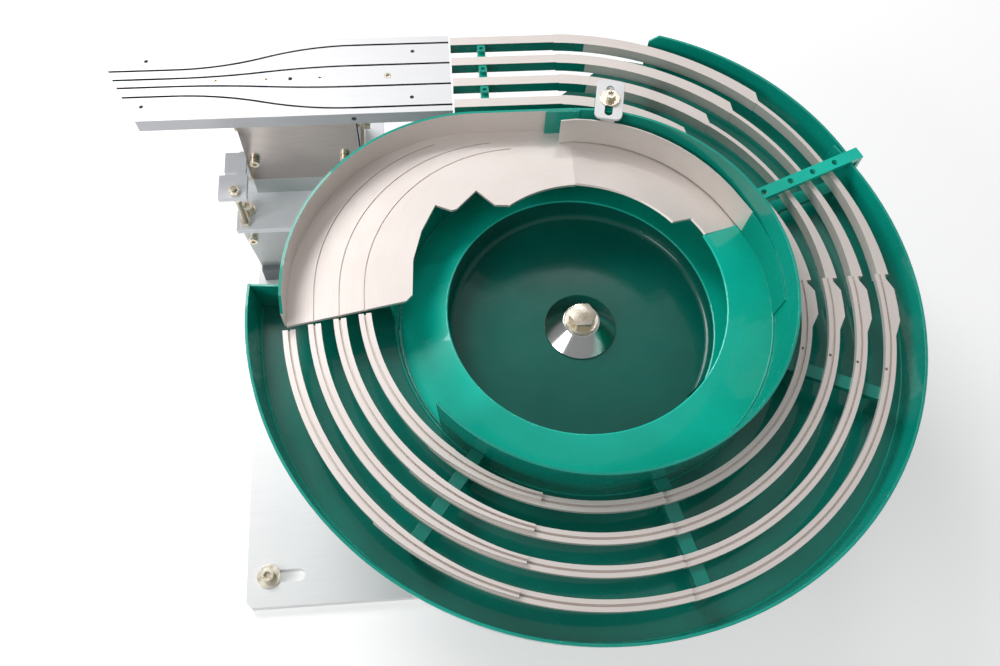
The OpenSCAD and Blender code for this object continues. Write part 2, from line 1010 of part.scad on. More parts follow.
// Plan of the tab that widens a strip's outer edge before its end
module tab_plan(i) {
  r = outer_end_r[i] + strip_w/2;
  polygon(concat([polar(r - 2, 346.5)], [for (a = [351.5 : 3.3 : 361.4]) polar(r + tab_w, a)],
                 [polar(r - 2, 361.4)]));
}

module lane_outer() {
  hole_a = 341;
  color(stainless)
    for (i = [0 : lane_count - 1])
      difference() {
        union() {
          arc_strip(outer_start(i), polar(outer_end_r[i], outer_end_a))
            strip_section(strip_w, outer_z);
          translate([0, 0, rim_h + outer_z - strip_t])
            linear_extrude(strip_t)
              tab_plan(i);
        }
        translate([0, 0, rim_h + outer_z - 2*strip_t])
          linear_extrude(3*strip_t)
            translate(polar(outer_end_r[i] - strip_w/4 - groove_w/4, hole_a))
              circle(1.4);
      }
}

// Plan of a strip that narrows from w0 to w1 between two polar points
module tapered_plan(p, q, a0, a1, w0, w1) {
  po = p*(1 + w0/(2*norm(p)));
  qo = q*(1 + w1/(2*norm(q)));
  pin = p*(1 - w0/(2*norm(p)));
  qin = q*(1 - w1/(2*norm(q)));
  co = arc_centre(po, qo);
  ci = arc_centre(pin, qin);
  intersection() {
    difference() {
      translate(co)
        circle(norm(po - co));
      translate(ci)
        circle(norm(pin - ci));
    }
    sector(a0, a1);
  }
}

// Steps of eps keep the faces of joined stretches apart
module lane_exit() {
  turn_a = 387;
  side = blade_w/2 + 0.5;
  offset = flange_w/2 - side;
  low = rim_h + rail_z - rail_h;
  color(stainless)
    for (i = [0 : lane_count - 1]) {
      p0 = polar(200 + 24.3*i, outer_end_a);
      p1 = polar(201.5 + 25.4*i, turn_a);
      p2 = polar(205.5 + 26.8*i, 415.6 - 2.8*i);
      p3 = [0, exit_y + lane_pitch*i - offset];
      rail_end = rail_front[0] + exit_gap;
      translate([0, 0, low])
        linear_extrude(rail_h)
          tapered_plan(p0, p1, outer_end_a, turn_a, lane_w - 0.5, blade_w + 1);
      arc_strip(p1, p2, 0.4)
        translate([-blade_w/2, low + eps])
          square([blade_w, rail_h - 2*eps]);
      arc_strip(p2, p3, 0.2)
        translate([-side, low])
          square([2*side, rail_h]);
      difference() {
        arc_strip(p2, p3, 0.2)
          translate([-side, low + rail_h - flange_t - eps])
            square([flange_w, flange_t]);
        translate([p2[0], p2[1], low])
          rotate([0, 0, angle_of(p2)])
            linear_extrude(2*rail_h)
              polygon([[1, -2], [far, -2], [far, far - 3]]);
      }
      box([rail_end, 1], [p3[1] + offset - exit_w/2, p3[1] + offset + exit_w/2],
          [low + 2*eps, low + rail_h - 2*eps]);
    }
}

module lane_spacers() {
  w = 8;
  gap = lane_pitch - exit_w;
  color(teal)
    for (i = [0 : lane_count - 2])
      translate([-76, exit_y + lane_pitch*(i + 0.5), rim_h + rail_z - rail_h])
        difference() {
          translate([-w/2, -gap/2, 0])
            cube([w, gap, rail_h - 1]);
          translate([0, 0, 4])
            cylinder(r = 2.5, h = rail_h);
        }
  color(zinc)
    for (i = [0 : lane_count - 2])
      translate([-76, exit_y + lane_pitch*(i + 0.5), rim_h + rail_z - 1])
        cap_screw(2.45, 4, 4, rail_h - 6);
}

// ---------- inline track ----------

groove_in = [for (i = [0 : 3]) exit_y + lane_pitch*i - rail_front[1]];
groove_out = [29.2, 41, 51, 62];
bend_u = [97, 272];

// Groove that runs straight, bends over and back, and runs straight to the skewed end.
// Each stretch is a hair wider than the one before, so that their walls don't graze.
module track_groove(v0, v1) {
  du = bend_u[1] - bend_u[0];
  dv = v1 - v0;
  turn = 2*atan(abs(dv)/du);
  r = du/(2*sin(turn));
  side = dv > 0 ? 1 : -1;
  over = 0.2;
  step = 0.1;
  w = groove_w + 2*step;
  h = 2*groove_depth;
  translate([0, 0, rail_top_z - groove_depth]) {
    translate([-1, v0 - w/2, 0])
      cube([bend_u[0] + 1, w, h]);
    translate([bend_u[0], v0 + side*r, 0])
      rotate([0, 0, (side > 0 ? -90 : 90 - turn) - over])
        rotate_extrude(angle = turn + 2*over)
          translate([r - groove_w/2, 0])
            square([groove_w, h]);
    translate([bend_u[1], v1 - side*r, 0])
      rotate([0, 0, (side > 0 ? 90 : -90 - turn) - over*(1 - side)/2])
        rotate_extrude(angle = turn + over)
          translate([r - groove_w/2 - step/2, 0])
            square([groove_w + step, h]);
    translate([bend_u[1], v1 - w/2, 0])
      cube([far, w, h]);
  }
}

screw_v = 46.3;
screw_u = [62.8, 129.5, 182.2, 231.4];
button_r = 3.4;
button_h = 3;
track_screw_r = 2;
track_screw_len = 20;
small_holes = [[300.8, 74], [300.8, 17.3], [158.7, screw_v], [36.9, 76.7], [39.5, 18.3]];

module track_plate() {
  color(silver)
    track_frame()
      difference() {
        translate([0, 0, rail_top_z - rail_t])
          linear_extrude(rail_t)
            polygon([[0, 0], [rail_len, 0], skew_mid, skew_end, [0, rail_w]]);
        for (i = [0 : 3])
          track_groove(groove_in[i], groove_out[i]);
        for (h = small_holes)
          translate([h[0], h[1], rail_top_z - rail_t - 1])
            cylinder(r = 2, h = rail_t + 2);
        for (u = screw_u)
          translate([u, screw_v, rail_top_z]) {
            translate([0, 0, -button_h])
              cylinder(r = button_r + eps, h = 2*button_h);
            translate([0, 0, -rail_t - 1])
              cylinder(r = track_screw_r + eps, h = rail_t + 2);
          }
        translate([bend_u[0], 8, rail_top_z - rail_t/2])
          rotate([90, 0, 0])
            cylinder(r = 2.5, h = 10);
      }
}

function over_mass(u) = u > mass_u[0] && u < mass_u[1];
mass_u = [100, 215];
mass_v = [10, 86];

module track_screws() {
  color(zinc)
    track_frame()
      for (u = screw_u)
        translate([u, screw_v, rail_top_z - button_h])
          cap_screw(track_screw_r, button_r, button_h,
                    over_mass(u) ? track_screw_len : rail_t - button_h);
}

module linear_top_mass() {
  color(iron)
    track_frame()
      difference() {
        box(mass_u, mass_v, mass_z);
        for (u = screw_u)
          if (over_mass(u))
            translate([u, screw_v, mass_z[1] - 9])
              cylinder(r = track_screw_r + eps, h = 10);
        end_bolt_holes(upper_bolt_z, mass_u, 14);
      }
}

// Bores along the track at both ends of a block
module end_bolt_holes(z, u, depth) {
  for (v = bolt_v) {
    translate([u[0] - 1, v, z])
      rotate([0, 90, 0])
        cylinder(r = m6_r + eps, h = depth + 1);
    translate([u[1] - depth, v, z])
      rotate([0, 90, 0])
        cylinder(r = m6_r + eps, h = depth + 1);
  }
}

upper_bolt_z = -44;
lower_bolt_z = -107;
bolt_v = [30, 66];
spring_t = 3;
relief = 4;

module linear_base_block() {
  u0 = mass_u[0];
  u1 = mass_u[1];
  color(silver)
    track_frame()
      difference() {
        union() {
          box(cover_u, cover_v, block_z);
          for (u = [[u0 + relief, u0 + cheek_w], [u1 - cheek_w, u1 - relief]])
            box(u, [cover_v[0] + cover_t, cover_v[1] - cover_t], [block_z[1] - 1, cheek_top]);
          for (u = [[u0, u0 + cheek_w], [u1 - cheek_w, u1]])
            box(u, [cover_v[0] + cover_t, cover_v[1] - cover_t], [block_z[1] - 1, -97]);
        }
        end_bolt_holes(lower_bolt_z, mass_u, 14);
        for (s = cover_screw_at, v = cover_v)
          translate([s[0], v, s[1]])
            rotate([90, 0, 0])
              cylinder(r = m6_r + eps, h = 24, center = true);
      }
}

cover_screw_at = [[206, -81], [113, -80]];

module linear_core() {
  color(dark)
    track_frame()
      difference() {
        box([130, 160], [30, 66], [block_z[1], -62]);
        for (z = [-82, -101])
          box([140, 161], [29, 67], [z, z + 11]);
      }
}

module linear_coil() {
  color(copper)
    track_frame()
      difference() {
        box([142, 159], [24, 72], [-100, -72]);
        box([141, 160], [30 - eps, 66 + eps], [-90.05, -81.95]);
      }
}

module linear_armature() {
  color(dark)
    track_frame()
      box([163, 175], [30, 66], [-100, mass_z[0]]);
}

module cover(v0) {
  difference() {
    box(cover_u, [v0, v0 + cover_t], cover_z);
    for (s = cover_screw_at)
      translate([s[0], v0 + cover_t/2, s[1]])
        rotate([90, 0, 0])
          cylinder(r = m6_r + 0.2, h = 3*cover_t, center = true);
  }
}

module front_cover() {
  color(stainless)
    track_frame()
      cover(cover_v[0]);
}

module back_cover() {
  color(stainless)
    track_frame()
      cover(cover_v[1] - cover_t);
}

module cover_screws() {
  color(zinc)
    track_frame()
      for (s = cover_screw_at) {
        translate([s[0], cover_v[0], s[1]])
          rotate([90, 0, 0])
            cap_screw(m6_r, m6_head_r, m6_head_h, 12);
        translate([s[0], cover_v[1], s[1]])
          rotate([-90, 0, 0])
            cap_screw(m6_r, m6_head_r, m6_head_h, 12);
      }
}

module linear_springs() {
  color(dark)
    track_frame()
      for (u = [mass_u[0] - spring_t, mass_u[1]])
        difference() {
          box([u, u + spring_t], spring_v, [block_z[1], mass_z[1] - 2]);
          for (v = bolt_v, z = [upper_bolt_z, lower_bolt_z])
            translate([u - 1, v, z])
              rotate([0, 90, 0])
                cylinder(r = m6_r + 0.2, h = spring_t + 2);
        }
}

// Screws that clamp both spring ends to a block, with a strip under their heads
module end_bolts(z) {
  clip = 3;
  for (side = [0, 1])
    translate([side == 0 ? mass_u[0] - spring_t : mass_u[1] + spring_t, 0, z])
      scale([side == 0 ? -1 : 1, 1, 1]) {
        difference() {
          box([0, clip], spring_v, [-8, 8]);
          for (v = bolt_v)
            translate([-1, v, 0])
              rotate([0, 90, 0])
                cylinder(r = m6_r + 0.2, h = clip + 2);
        }
        for (v = bolt_v)
          translate([clip, v, 0])
            rotate([0, 90, 0])
              cap_screw(m6_r, m6_head_r, m6_head_h, clip + spring_t + 12);
      }
}

module lower_linear_bolts() {
  color(zinc)
    track_frame()
      end_bolts(lower_bolt_z);
}

module upper_linear_bolts() {
  color(zinc)
    track_frame()
      end_bolts(upper_bolt_z);
}

// ---------- stand ----------

stand_screw_u = [88, 223.5];
stand_screw_v = [-18, 30];
column_screw_u = 221;

module stand_foot() {
  color(iron)
    track_frame()
      box(foot_u, foot_v, [base_t - rim_h, foot_z]);
}

module stand_column() {
  color(silver)
    track_frame()
      difference() {
        translate([0, column_v[1], 0])
          rotate([90, 0, 0])
            linear_extrude(column_v[1] - column_v[0])
              polygon([[foot_u[0], foot_z], [foot_u[1], foot_z],
                       [column_top_u[1], deck_z[0]], [column_top_u[0], deck_z[0]]]);
        at_stand_screws(deck_z[0] - 14)
          cylinder(r = m8_r + eps, h = 20);
        translate([column_screw_u, column_v[0] + 12, deck_z[0] - 12])
          rotate([90, 0, 0])
            cylinder(r = m6_r + eps, h = 20);
      }
}

module at_stand_screws(z) {
  for (u = stand_screw_u, v = stand_screw_v)
    translate([u, v, z])
      children();
}

module stand_top_plate() {
  color(silver)
    track_frame()
      difference() {
        box(deck_u, deck_v, deck_z);
        at_stand_screws(deck_z[0] - 1)
          cylinder(r = m8_r + eps, h = 20);
        translate([rod_at[0], rod_at[1], deck_z[0] - 1])
          cylinder(r = m6_r + eps, h = 20);
      }
}

module stand_screws() {
  color(zinc)
    track_frame() {
      at_stand_screws(deck_z[1])
        washer(8.5, m8_r + eps, washer_t);
      at_stand_screws(deck_z[1] + washer_t)
        cap_screw(m8_r, m8_head_r, m8_head_h, 21);
      translate([column_screw_u, column_v[0], deck_z[0] - 12])
        rotate([90, 0, 0])
          cap_screw(m6_r, m6_head_r, m6_head_h, 11);
    }
}

rod_at = [225, -34];
arm_z = [-88, -82];

// Slotted arm on the linear drive's side that the levelling rod carries
module level_arm() {
  leg_u = [mass_u[1], mass_u[1] + 6];
  leg_v = [5, 16];
  nose_u = [213, 242];
  nose_v = [rod_at[1] - 7, -12];
  back_u = [leg_u[0], 237];
  back_v = [-9, leg_v[1]];
  color(silver)
    track_frame()
      difference() {
        union() {
          box(nose_u, nose_v, arm_z);
          box([back_u[0], rod_at[0]], [nose_v[1] - eps, back_v[0] + eps], arm_z);
          box(back_u, back_v, arm_z);
          box(leg_u, leg_v, [block_z[1] + 1, arm_z[1]]);
        }
        translate([rod_at[0], rod_at[1], arm_z[0] - 1])
          cylinder(r = m6_r + eps, h = 20);
      }
}

module level_rod() {
  color(zinc)
    track_frame()
      translate([rod_at[0], rod_at[1], deck_z[0]])
        cylinder(r = m6_r, h = arm_z[1] + 8 - deck_z[0]);
}

module nut(af, h) {
  difference() {
    linear_extrude(h)
      hexagon(af);
    translate([0, 0, -1])
      cylinder(r = m6_r + eps, h = h + 2);
  }
}

module level_nuts() {
  h = 5;
  color(zinc)
    track_frame()
      for (z = [deck_z[1], arm_z[0] - h, arm_z[1]])
        translate([rod_at[0], rod_at[1], z])
          nut(10, h);
}

base_plate();
base_screws();
base_washers();
drive_base();
drive_base_screws();
magnet_core();
magnet_coil();
leaf_springs();
lower_spring_screws();
stand_foot();
stand_column();
stand_top_plate();
stand_screws();
linear_base_block();
linear_core();
linear_coil();
front_cover();
back_cover();
cover_screws();
level_arm();
level_rod();
level_nuts();
linear_springs();
lower_linear_bolts();
track_plate();
track_screws();
linear_top_mass();
linear_armature();
upper_linear_bolts();
top_frame();
armature();
upper_spring_screws();
basin_floor();
basin_wall();
spiral_track();
bowl_wall();
plate_ramp();
sorting_plate();
plate_wall();
wall_lap();
centre_cone();
centre_washer();
centre_bolt();
pan_floor();
pan_wall();
pan_wall_exit();
pan_end_panel();
cross_bar();
lower_bar();
floor_supports();
clamp_lug();
clamp_screw();
clamp_washer();
lane_spacers();
lane_entry();
lane_middle();
lane_outer();
lane_exit();
baffle();
clamp_plate();
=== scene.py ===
import json
import math
import bpy
import bmesh
from mathutils import Matrix, Vector


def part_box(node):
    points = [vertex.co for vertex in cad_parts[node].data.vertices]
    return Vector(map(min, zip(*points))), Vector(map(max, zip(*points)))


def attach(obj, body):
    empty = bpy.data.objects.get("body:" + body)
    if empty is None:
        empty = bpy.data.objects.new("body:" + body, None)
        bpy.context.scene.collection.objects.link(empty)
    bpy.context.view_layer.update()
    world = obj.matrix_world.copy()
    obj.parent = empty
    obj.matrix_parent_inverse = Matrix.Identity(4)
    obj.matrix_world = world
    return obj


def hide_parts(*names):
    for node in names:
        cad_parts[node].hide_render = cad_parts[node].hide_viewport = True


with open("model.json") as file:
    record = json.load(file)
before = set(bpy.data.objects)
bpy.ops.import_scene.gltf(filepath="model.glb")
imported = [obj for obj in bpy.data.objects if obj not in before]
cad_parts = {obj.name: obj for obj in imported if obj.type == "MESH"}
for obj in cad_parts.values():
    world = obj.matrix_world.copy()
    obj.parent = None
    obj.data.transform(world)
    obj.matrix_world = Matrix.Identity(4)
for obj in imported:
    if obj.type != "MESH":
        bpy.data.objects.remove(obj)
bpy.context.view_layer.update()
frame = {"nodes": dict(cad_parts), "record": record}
bodies = frame["record"]["behaviour"]["bodies"]
bodyOfNode = {node: body for body, nodes in bodies.items() for node in nodes}
print("frame loaded")

view = {
    "place": (-0.1371, -0.3863, 0.9935),
    "right": (0.9963, -0.0755, 0.0394),
    "up": (0.0510, 0.8994, 0.4341),
    "lens": 34.06,
    "sensor": 36.0,
    "reach": 20.0,
}


def makeCamera():
    right = Vector(view["right"]).normalized()
    up = Vector(view["up"])
    up = (up - right * up.dot(right)).normalized()
    back = right.cross(up)
    lens = bpy.data.cameras.new("viewCamera")
    lens.lens = view["lens"]
    lens.sensor_width = view["sensor"]
    lens.clip_end = view["reach"]
    camera = bpy.data.objects.new("viewCamera", lens)
    turn = Matrix((right, up, back)).transposed()
    camera.matrix_world = Matrix.Translation(view["place"]) @ turn.to_4x4()
    bpy.context.collection.objects.link(camera)
    bpy.context.scene.camera = camera


lampAim = (0.0, 0.0, 0.2)
lamps = {
    "keyLamp": {"place": (-1.00, 1.20, 1.85), "size": (1.1, 0.9), "power": 26.5},
    "fillLamp": {"place": (-1.45, -0.75, 1.25), "size": (0.8, 0.7), "power": 10.0},
    "windowLamp": {"place": (0.30, 1.15, 1.85), "size": (0.42, 0.12), "power": 2.5},
}


def areaLamp(name, place, size, power):
    lamp = bpy.data.lights.new(name, "AREA")
    lamp.shape = "RECTANGLE"
    lamp.size, lamp.size_y = size
    lamp.energy = power
    holder = bpy.data.objects.new(name, lamp)
    turn = (Vector(lampAim) - Vector(place)).to_track_quat("-Z", "Y")
    holder.matrix_world = Matrix.Translation(place) @ turn.to_matrix().to_4x4()
    bpy.context.collection.objects.link(holder)


# Shader maths written as plain expressions
class Wire:
    def __init__(self, kit, socket):
        self.kit = kit
        self.socket = socket

    def maths(self, operation, *values):
        return self.kit.add("ShaderNodeMath", {"operation": operation}, dict(enumerate(values)))

    def __add__(self, other):
        return self.maths("ADD", self, other)

    def __radd__(self, other):
        return self.maths("ADD", other, self)

    def __mul__(self, other):
        return self.maths("MULTIPLY", self, other)

    def __rmul__(self, other):
        return self.maths("MULTIPLY", other, self)

    def __truediv__(self, other):
        return self.maths("DIVIDE", self, other)

    def __rtruediv__(self, other):
        return self.maths("DIVIDE", other, self)

    def __pow__(self, other):
        return self.maths("POWER", self, other)

    def clamped(self):
        return self.kit.add("ShaderNodeClamp", {}, {"Value": self})

    def zigzag(self, pitch):
        # from 0 to 1 and back over twice the pitch
        return self.maths("PINGPONG", self, pitch) / pitch

    def spread(self, low, high, toLow=0.0, toHigh=1.0):
        names = {"Value": self, "From Min": low, "From Max": high, "To Min": toLow, "To Max": toHigh}
        return self.kit.add("ShaderNodeMapRange", {"clamp": True}, names)


class Finish:
    # one material, or the world: its nodes are added here and joined to the output by close()
    def __init__(self, name, world=False):
        self.world = world
        self.material = (bpy.data.worlds if world else bpy.data.materials).new(name)
        self.material.use_nodes = True
        self.tree = self.material.node_tree
        self.tree.nodes.clear()

    def add(self, kind, settings=None, inputs=None, out=0):
        node = self.tree.nodes.new(kind)
        for key, value in (settings or {}).items():
            if key == "stops":
                elements = node.color_ramp.elements
                while len(elements) < len(value):
                    elements.new(0.5)
                for element, (place, tone) in zip(elements, value):
                    element.position = place
                    element.color = tone
            else:
                setattr(node, key, value)
        for key, value in (inputs or {}).items():
            if isinstance(value, Wire):
                self.tree.links.new(value.socket, node.inputs[key])
            else:
                node.inputs[key].default_value = value
        return Wire(self, node.outputs[out])

    def place(self, centre=(0, 0, 0), scale=(1, 1, 1), turn=(0, 0, 0)):
        coordinates = self.add("ShaderNodeTexCoord", out="Object")
        inputs = {"Vector": coordinates, "Location": centre, "Scale": scale, "Rotation": turn}
        return self.add("ShaderNodeMapping", {"vector_type": "TEXTURE"}, inputs)

    def split(self, vector):
        return [self.add("ShaderNodeSeparateXYZ", {}, {"Vector": vector}, out=k) for k in range(3)]

    def join(self, x, y, z):
        return self.add("ShaderNodeCombineXYZ", {}, {"X": x, "Y": y, "Z": z})

    def noise(self, vector, scale, detail=3.0, roughness=0.5):
        inputs = {"Vector": vector, "Scale": scale, "Detail": detail, "Roughness": roughness}
        return self.add("ShaderNodeTexNoise", {}, inputs)

    def polar(self):
        # radius, angle and height about the bowl's axis
        x, y, z = self.split(self.place())
        radius = (x * x + y * y) ** 0.5
        angle = self.add("ShaderNodeMath", {"operation": "ARCTAN2"}, {0: y, 1: x})
        return radius, angle, z

    def blendColours(self, factor, first, second):
        inputs = {0: factor, 6: first, 7: second}
        return self.add("ShaderNodeMix", {"data_type": "RGBA"}, inputs, out=2)

    def seen(self):
        # one for the rays that show the backdrop: camera, glossy and transmission
        kinds = ("Is Camera Ray", "Is Glossy Ray", "Is Transmission Ray")
        camera, glossy, through = [self.add("ShaderNodeLightPath", out=kind) for kind in kinds]
        return (camera + glossy + through).clamped()

    def bump(self, height, strength, distance):
        inputs = {"Height": height, "Strength": strength, "Distance": distance}
        return self.add("ShaderNodeBump", {}, inputs)

    def principled(self, sockets):
        self.close(self.add("ShaderNodeBsdfPrincipled", {}, sockets))
        return self.material

    def close(self, shader):
        kind = "ShaderNodeOutputWorld" if self.world else "ShaderNodeOutputMaterial"
        output = self.tree.nodes.new(kind)
        self.tree.links.new(shader.socket, output.inputs["Surface"])


def colour(r, g, b):
    return (r, g, b, 1.0)


# Scales are noise scales in metres, ranges are the part of the noise that is spread to 0..1,
# and a bump is its strength and its height in metres
paint = {
    "colour": (0.002, 0.330, 0.250),
    "deep": (0.001, 0.255, 0.190),
    "thin": (0.010, 0.40, 0.32),
    "chip": (0.30, 0.36, 0.33),
    "gloss": {"tealEnamel": 0.6, "brightEnamel": 0.5, "wornEnamel": 0.75, "basinEnamel": 0.4},
    # the shades give lit and shaded copies of one enamel: the brighter copy is painted light on the
    # track and bars, the darker copies are painted shade on the pan floor, its supports and deep in the
    # basin
    "shades": {"tealEnamel": 1.2, "brightEnamel": 1.85, "wornEnamel": 0.72, "basinEnamel": 0.42},
    "cloudScale": 9.0,
    "cloudRange": (0.35, 0.65),
    "speckScale": 900.0,
    "speckRange": (0.70, 0.78),
    "speckShare": 0.35,
    "chipScale": 70.0,
    "chipRange": (0.71, 0.74),
    "chipShare": 0.5,
    "orangePeel": (0.06, 0.0006),
    "peelScale": 260.0,
    "waveScale": 45.0,
    "wearScale": 30.0,
    "wearRange": (0.3, 0.7),
    "roughness": (0.20, 0.33),
    "specular": 0.25,
    "coatRoughness": 0.02,
}


def enamelPaint(name):
    # one colour in several strengths: the brighter and darker copies of it are painted light and
    # painted shade, not different paints
    shade = paint["shades"][name]
    tint = {key: colour(*[min(1.0, part * shade) for part in paint[key]])
            for key in ("colour", "deep", "thin", "chip")}
    finish = Finish(name)
    spot = finish.place()
    cloud = finish.noise(spot, paint["cloudScale"]).spread(*paint["cloudRange"])
    speck = finish.noise(spot, paint["speckScale"], 2.0).spread(*paint["speckRange"])
    chips = finish.noise(spot, paint["chipScale"], 6.0, 0.75).spread(*paint["chipRange"])
    tone = finish.blendColours(cloud, tint["deep"], tint["colour"])
    tone = finish.blendColours(speck * paint["speckShare"], tone, tint["thin"])
    tone = finish.blendColours(chips * paint["chipShare"], tone, tint["chip"])
    waves = finish.noise(spot, paint["waveScale"], 2.0)
    peel = finish.noise(spot, paint["peelScale"], 2.0) + waves * 2.0
    wear = finish.noise(spot, paint["wearScale"], 4.0)
    return finish.principled({
        "Base Color": tone,
        "Roughness": wear.spread(*paint["wearRange"], *paint["roughness"]),
        "Specular IOR Level": paint["specular"],
        "Normal": finish.bump(peel, *paint["orangePeel"]),
        "Coat Weight": paint["gloss"][name],
        "Coat Roughness": paint["coatRoughness"],
    })


# the warm tint of these steel colours is painted reflection: it stands in for a warm room mirrored in
# the bare steel
sheetSteel = {
    "light": colour(0.85, 0.78, 0.74),
    "dark": colour(0.72, 0.64, 0.59),
    "mirror": colour(0.44, 0.40, 0.38),
    "straightGrain": (0.25, 0.004, 0.004),
    "straightScale": 8.0,
    "roundGrain": (1500.0, 6.0, 1500.0),
    "cloudScale": 14.0,
    "cloudRange": (0.35, 0.7),
    "smudgeScale": 38.0,
    "smudgeRange": (0.5, 0.8),
    "grainRange": (0.3, 0.7),
    "grainShare": 0.35,
    "cloudShare": 0.25,
    "grainRoughness": 0.10,
    "smudgeRoughness": 0.10,
    "bump": (0.06, 0.0003),
}


def brushedSheet(name, light, metallic, low, roundBowl):
    finish = Finish(name)
    if roundBowl:
        radius, angle, z = finish.polar()
        across, along, upright = sheetSteel["roundGrain"]
        grain = finish.noise(finish.join(radius * across, angle * along, z * upright), 1.0)
    else:
        straight = finish.place(scale=sheetSteel["straightGrain"])
        grain = finish.noise(straight, sheetSteel["straightScale"])
    spot = finish.place()
    cloud = finish.noise(spot, sheetSteel["cloudScale"], 4.0).spread(*sheetSteel["cloudRange"])
    smudge = finish.noise(spot, sheetSteel["smudgeScale"], 5.0, 0.7).spread(*sheetSteel["smudgeRange"])
    brushed = grain.spread(*sheetSteel["grainRange"])
    share = brushed * sheetSteel["grainShare"] + cloud * sheetSteel["cloudShare"]
    rough = low + grain * sheetSteel["grainRoughness"] + smudge * sheetSteel["smudgeRoughness"]
    return finish.principled({
        "Base Color": finish.blendColours(share, sheetSteel[light], sheetSteel["dark"]),
        "Roughness": rough,
        "Metallic": metallic,
        "Normal": finish.bump(grain, *sheetSteel["bump"]),
    })


zincCoat = {
    "yellow": colour(0.80, 0.70, 0.52),
    "pale": colour(0.84, 0.79, 0.70),
    "bloomScale": 160.0,
    "bloomRange": (0.35, 0.65),
    "fineScale": 1500.0,
    "bloomRoughness": 0.12,
    "roughness": 0.24,
    "bump": (0.15, 0.0002),
}


def zincPlate():
    finish = Finish("yellowZinc")
    spot = finish.place()
    bloom = finish.noise(spot, zincCoat["bloomScale"]).spread(*zincCoat["bloomRange"])
    fine = finish.noise(spot, zincCoat["fineScale"], 2.0)
    return finish.principled({
        "Base Color": finish.blendColours(bloom, zincCoat["yellow"], zincCoat["pale"]),
        "Metallic": 1.0,
        "Roughness": bloom * zincCoat["bloomRoughness"] + zincCoat["roughness"],
        "Normal": finish.bump(fine, *zincCoat["bump"]),
    })


rod = {
    # the thread is only a bump, and its roots are painted darker than its crests: painted shade in the
    # thread's hollows
    "root": colour(0.42, 0.36, 0.26),
    "crest": colour(0.84, 0.77, 0.64),
    "halfPitch": 0.0005,
    "rootRoughness": 0.42,
    "crestRoughness": 0.30,
    "bump": (0.9, 0.0005),
}


def threadedRod():
    finish = Finish("rolledThread")
    ridges = finish.split(finish.place())[2].zigzag(rod["halfPitch"])
    fall = rod["crestRoughness"] - rod["rootRoughness"]
    return finish.principled({
        "Base Color": finish.blendColours(ridges, rod["root"], rod["crest"]),
        "Metallic": 1.0,
        "Roughness": ridges * fall + rod["rootRoughness"],
        "Normal": finish.bump(ridges, *rod["bump"]),
    })


cone = {
    "colour": colour(0.72, 0.73, 0.72),
    "turningLines": (2600.0, 0.4, 900.0),
    "lineRoughness": 0.10,
    "roughness": 0.08,
    "bump": (0.08, 0.0002),
}


def polishedChrome():
    finish = Finish("turnedChrome")
    radius, angle, z = finish.polar()
    across, along, upright = cone["turningLines"]
    rings = finish.noise(finish.join(radius * across, angle * along, z * upright), 1.0, 2.0)
    return finish.principled({
        "Base Color": cone["colour"],
        "Metallic": 1.0,
        "Roughness": rings * cone["lineRoughness"] + cone["roughness"],
        "Normal": finish.bump(rings, *cone["bump"]),
    })


milling = {
    "lineLength": (0.30, 0.003, 0.003),
    "lineScale": 5.0,
    "cloudScale": 10.0,
    "range": (0.3, 0.7),
    "darker": (0.90, 0.90, 0.91),
    "lineShare": 0.5,
    "cloudShare": 0.3,
    "lineRoughness": 0.14,
    "cloudRoughness": 0.08,
    "bump": (0.08, 0.0003),
    "plates": {
        "milledBase": {"tone": (0.92, 0.92, 0.92), "turn": 0, "low": 0.36, "metallic": 0.25},
        "groundTrack": {"tone": (0.84, 0.84, 0.85), "turn": 0, "low": 0.38, "metallic": 0.25},
        "milledDeck": {"tone": (0.96, 0.97, 1.0), "turn": 0, "low": 0.50, "metallic": 0.10},
        "milledStand": {"tone": (0.60, 0.63, 0.62), "turn": 90, "low": 0.30, "metallic": 0.7},
        # the next two tones are painted shade: the plate's sides and the hollows of its grooves and
        # bores
        "sideShadeSteel": {"tone": (0.56, 0.56, 0.58), "turn": 0, "low": 0.38, "metallic": 0.7},
        "grooveShadeSteel": {"tone": (0.035, 0.06, 0.065), "turn": 0, "low": 0.35, "metallic": 0.7},
    },
}


def milledPlate(name):
    plate = milling["plates"][name]
    finish = Finish(name)
    along = finish.place(scale=milling["lineLength"], turn=(0, 0, math.radians(plate["turn"])))
    lines = finish.noise(along, milling["lineScale"], 2.0)
    cloud = finish.noise(finish.place(), milling["cloudScale"]).spread(*milling["range"])
    dark = colour(*[part * less for part, less in zip(plate["tone"], milling["darker"])])
    share = lines.spread(*milling["range"]) * milling["lineShare"] + cloud * milling["cloudShare"]
    rough = lines * milling["lineRoughness"] + cloud * milling["cloudRoughness"] + plate["low"]
    return finish.principled({
        "Base Color": finish.blendColours(share, colour(*plate["tone"]), dark),
        "Metallic": plate["metallic"],
        "Roughness": rough,
        "Normal": finish.bump(lines, *milling["bump"]),
    })


iron = {
    "dark": colour(0.16, 0.18, 0.19),
    "light": colour(0.22, 0.24, 0.25),
    "sandScale": 700.0,
    "lumpScale": 120.0,
    "cloudScale": 20.0,
    "cloudRange": (0.3, 0.7),
    "cloudRoughness": 0.15,
    "roughness": 0.42,
    "bump": (0.35, 0.0005),
}


def castIron():
    finish = Finish("greyCasting")
    spot = finish.place()
    sand = finish.noise(spot, iron["sandScale"], 4.0) + finish.noise(spot, iron["lumpScale"])
    cloud = finish.noise(spot, iron["cloudScale"]).spread(*iron["cloudRange"])
    return finish.principled({
        "Base Color": finish.blendColours(cloud, iron["dark"], iron["light"]),
        "Roughness": cloud * iron["cloudRoughness"] + iron["roughness"],
        "Normal": finish.bump(sand, *iron["bump"]),
    })


